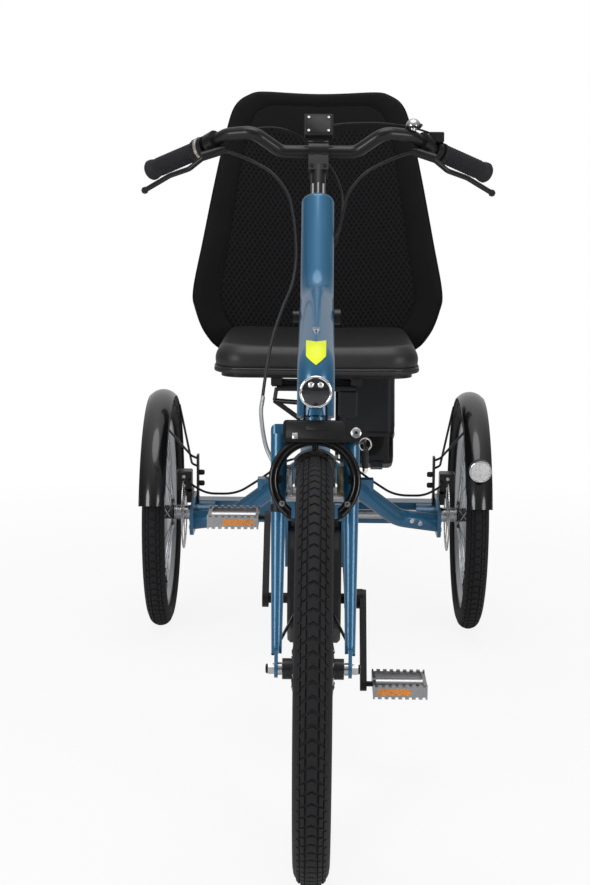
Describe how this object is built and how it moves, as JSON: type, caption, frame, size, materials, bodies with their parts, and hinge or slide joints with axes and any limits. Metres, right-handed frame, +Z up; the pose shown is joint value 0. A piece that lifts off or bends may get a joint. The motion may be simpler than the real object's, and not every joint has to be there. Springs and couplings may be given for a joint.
{
  "type": "tricycle",
  "caption": "Semi-recumbent electric-assist tricycle: one steered front wheel, two rear wheels, low padded seat, blue tube frame.",
  "frame": {"origin": "middle of the footprint on the ground: half way across the rear wheels and half way between the front tyre's nose and the rear mudguards' backs", "axes": "+X across, to the side with the chain; -Y forward, towards the front wheel; +Z up"},
  "size_m": [0.741, 1.9621, 1.176],
  "materials": {
    "blue_paint": "gloss",
    "black_metal": "satin",
    "gloss_black": "gloss",
    "black_plastic": "matte",
    "steel": "satin",
    "spoke_steel": "polished",
    "chrome": "polished",
    "alloy": "satin",
    "tyre": "matte",
    "grip_rubber": "matte",
    "cable_black": "satin",
    "lamp_glass": "clear lens with a chrome ring",
    "chain_steel": "oiled",
    "amber": "reflector",
    "seat_vinyl": "vinyl, satin",
    "seat_mesh": "spacer mesh",
    "reflector": "silver reflector"
  },
  "bodies": {
    "frame": {"battery": "black_plastic", "battery_rail": "black_metal", "brake_calipers": "black_metal", "chain": "chain_steel", "dropout_plates": "blue_paint", "headset": "black_metal", "main_frame": "blue_paint", "motor": "black_plastic", "mudguard_lamp": "reflector", "mudguard_stays": "black_metal", "rear_brake_hoses": "cable_black", "rear_mudguard_left": "gloss_black", "rear_mudguard_right": "gloss_black", "seat_back": "seat_mesh", "seat_back_frame": "black_metal", "seat_cushion": "seat_vinyl", "seat_latch": "black_metal", "seat_pan": "black_metal", "seat_rails": "black_metal"},
    "steering": {"fork": "blue_paint", "front_axle": "steel", "steering_column": "blue_paint", "column_bolt": "steel", "stem": "black_metal", "handlebar": "black_metal", "display": "black_plastic", "bell": "chrome", "brake_levers": "black_metal", "grips": "grip_rubber", "twist_shifter": "black_plastic", "headlamp": "lamp_glass", "ring_lock": "black_plastic", "lock_key": "black_plastic", "front_brake": "alloy", "front_brake_hose": "cable_black", "front_mudguard": "gloss_black", "bar_cables": "cable_black", "button_pod": "black_plastic"},
    "front_wheel": {"front_tyre": "tyre", "front_rim": "black_metal", "front_hub_spokes": "spoke_steel"},
    "rear_wheel_left": {"rear_tyre_left": "tyre", "rear_rim_left": "alloy", "rear_hub_spokes_left": "spoke_steel", "brake_disc_left": "steel", "half_shaft_left": "steel"},
    "rear_wheel_right": {"rear_tyre_right": "tyre", "rear_rim_right": "alloy", "rear_hub_spokes_right": "spoke_steel", "brake_disc_right": "steel", "half_shaft_right": "steel", "gear_hub": "alloy"},
    "crank": {"crankset": "black_metal"},
    "pedal_l": {"pedal_left": "black_plastic", "pedal_reflectors_left": "amber"},
    "pedal_r": {"pedal_right": "black_plastic", "pedal_reflectors_right": "amber"}
  },
  "joints": [
    {"name": "steer", "type": "hinge", "parent": "frame", "child": "steering", "pos_m": [0, -0.56563, 0.64], "axis": [0, 0.2588, 0.9659], "range_deg": [-35, 35]},
    {"name": "front_wheel_spin", "type": "hinge", "parent": "steering", "child": "front_wheel", "pos_m": [0, -0.67763, 0.3035], "axis": [1, 0, 0], "continuous": true},
    {"name": "rear_wheel_left_spin", "type": "hinge", "parent": "frame", "child": "rear_wheel_left", "pos_m": [-0.3375, 0.67537, 0.25], "axis": [1, 0, 0], "continuous": true},
    {"name": "rear_wheel_right_spin", "type": "hinge", "parent": "frame", "child": "rear_wheel_right", "pos_m": [0.3375, 0.67537, 0.25], "axis": [1, 0, 0], "continuous": true},
    {"name": "crank_spin", "type": "hinge", "parent": "frame", "child": "crank", "pos_m": [0, -0.16263, 0.274], "axis": [1, 0, 0], "continuous": true},
    {"name": "pedal_left_spin", "type": "hinge", "parent": "crank", "child": "pedal_l", "pos_m": [-0.144, -0.06002, 0.39414], "axis": [1, 0, 0], "continuous": true},
    {"name": "pedal_right_spin", "type": "hinge", "parent": "crank", "child": "pedal_r", "pos_m": [0.144, -0.26525, 0.15386], "axis": [1, 0, 0], "continuous": true}
  ]
}
